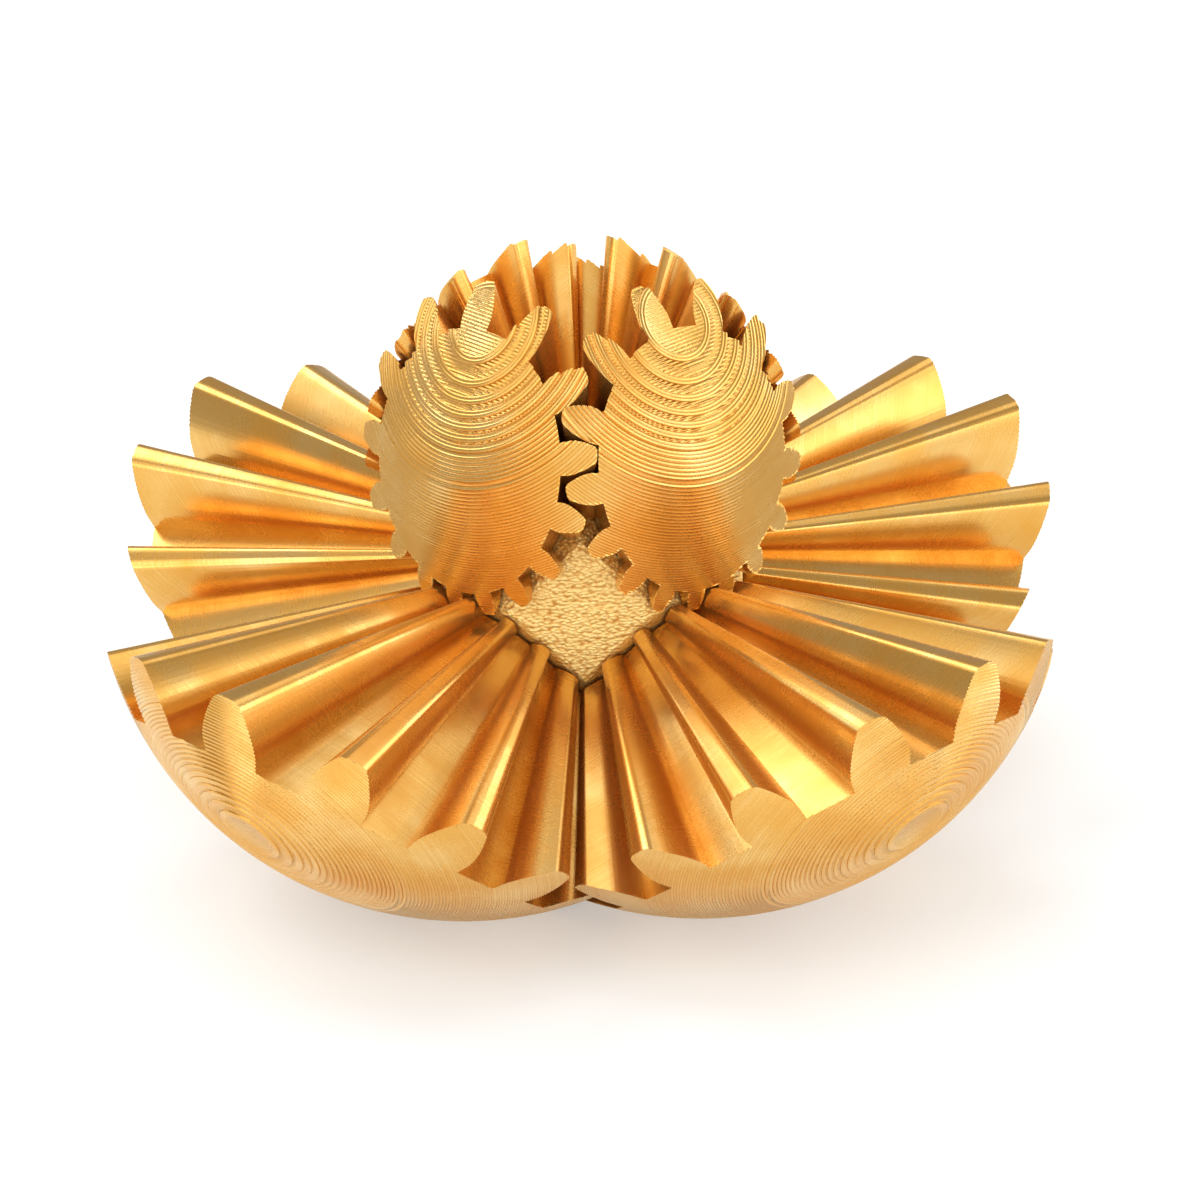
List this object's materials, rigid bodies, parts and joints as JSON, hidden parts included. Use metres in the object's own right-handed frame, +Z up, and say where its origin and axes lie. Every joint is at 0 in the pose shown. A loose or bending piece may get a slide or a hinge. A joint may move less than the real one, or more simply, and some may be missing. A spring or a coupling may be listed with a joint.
{
  "type": "gear ball",
  "caption": "Gear ball desk toy, opened out: bevel gears snapped on the corner faces of a faceted core, all in mesh, with domed outer ends that close into one sphere.",
  "frame": {"origin": "on the table under the core's centre, which is the centre of the base of the bounding box", "axes": "+Z up, +X to the right, +Y to the back; the front is -Y"},
  "size_m": [0.109, 0.114, 0.0711],
  "materials": {
    "gear_plastic": "gold silk filament with fine print layer lines",
    "core_plastic": "gold silk filament, pebbled outer faces",
    "pin_plastic": "gold silk filament"
  },
  "bodies": {
    "core": {"core": "core_plastic", "snap_pin_upper_front_left": "pin_plastic", "snap_pin_upper_front_right": "pin_plastic", "snap_pin_upper_back_left": "pin_plastic", "snap_pin_upper_back_right": "pin_plastic", "snap_pin_lower_front_left": "pin_plastic", "snap_pin_lower_front_right": "pin_plastic", "snap_pin_lower_back_left": "pin_plastic", "snap_pin_lower_back_right": "pin_plastic"},
    "lower_front_left": {"gear_lower_front_left": "gear_plastic"},
    "upper_front_left": {"gear_upper_front_left": "gear_plastic"},
    "upper_front_right": {"gear_upper_front_right": "gear_plastic"},
    "upper_back_left": {"gear_upper_back_left": "gear_plastic"},
    "upper_back_right": {"gear_upper_back_right": "gear_plastic"},
    "lower_front_right": {"gear_lower_front_right": "gear_plastic"},
    "lower_back_left": {"gear_lower_back_left": "gear_plastic"},
    "lower_back_right": {"gear_lower_back_right": "gear_plastic"}
  },
  "joints": [
    {"name": "turn_lower_front_left", "type": "hinge", "parent": "core", "child": "lower_front_left", "pos_m": [0, 0, 0.03505], "axis": [-0.5774, -0.5774, -0.5774], "continuous": true},
    {"name": "turn_upper_front_left", "type": "hinge", "parent": "core", "child": "upper_front_left", "pos_m": [0, 0, 0.03505], "axis": [-0.5774, -0.5774, 0.5774], "continuous": true},
    {"name": "turn_upper_front_right", "type": "hinge", "parent": "core", "child": "upper_front_right", "pos_m": [0, 0, 0.03505], "axis": [0.5774, -0.5774, 0.5774], "continuous": true},
    {"name": "turn_upper_back_left", "type": "hinge", "parent": "core", "child": "upper_back_left", "pos_m": [0, 0, 0.03505], "axis": [-0.5774, 0.5774, 0.5774], "continuous": true},
    {"name": "turn_upper_back_right", "type": "hinge", "parent": "core", "child": "upper_back_right", "pos_m": [0, 0, 0.03505], "axis": [0.5774, 0.5774, 0.5774], "continuous": true},
    {"name": "turn_lower_front_right", "type": "hinge", "parent": "core", "child": "lower_front_right", "pos_m": [0, 0, 0.03505], "axis": [0.5774, -0.5774, -0.5774], "continuous": true},
    {"name": "turn_lower_back_left", "type": "hinge", "parent": "core", "child": "lower_back_left", "pos_m": [0, 0, 0.03505], "axis": [-0.5774, 0.5774, -0.5774], "continuous": true},
    {"name": "turn_lower_back_right", "type": "hinge", "parent": "core", "child": "lower_back_right", "pos_m": [0, 0, 0.03505], "axis": [0.5774, 0.5774, -0.5774], "continuous": true}
  ],
  "couplings": [
    {"joint": "turn_upper_front_left", "follows": "turn_lower_front_left", "ratio": -1},
    {"joint": "turn_upper_front_right", "follows": "turn_lower_front_left", "ratio": 1},
    {"joint": "turn_upper_back_left", "follows": "turn_lower_front_left", "ratio": 1},
    {"joint": "turn_upper_back_right", "follows": "turn_lower_front_left", "ratio": -1},
    {"joint": "turn_lower_front_right", "follows": "turn_lower_front_left", "ratio": -1},
    {"joint": "turn_lower_back_left", "follows": "turn_lower_front_left", "ratio": -1},
    {"joint": "turn_lower_back_right", "follows": "turn_lower_front_left", "ratio": 1}
  ]
}
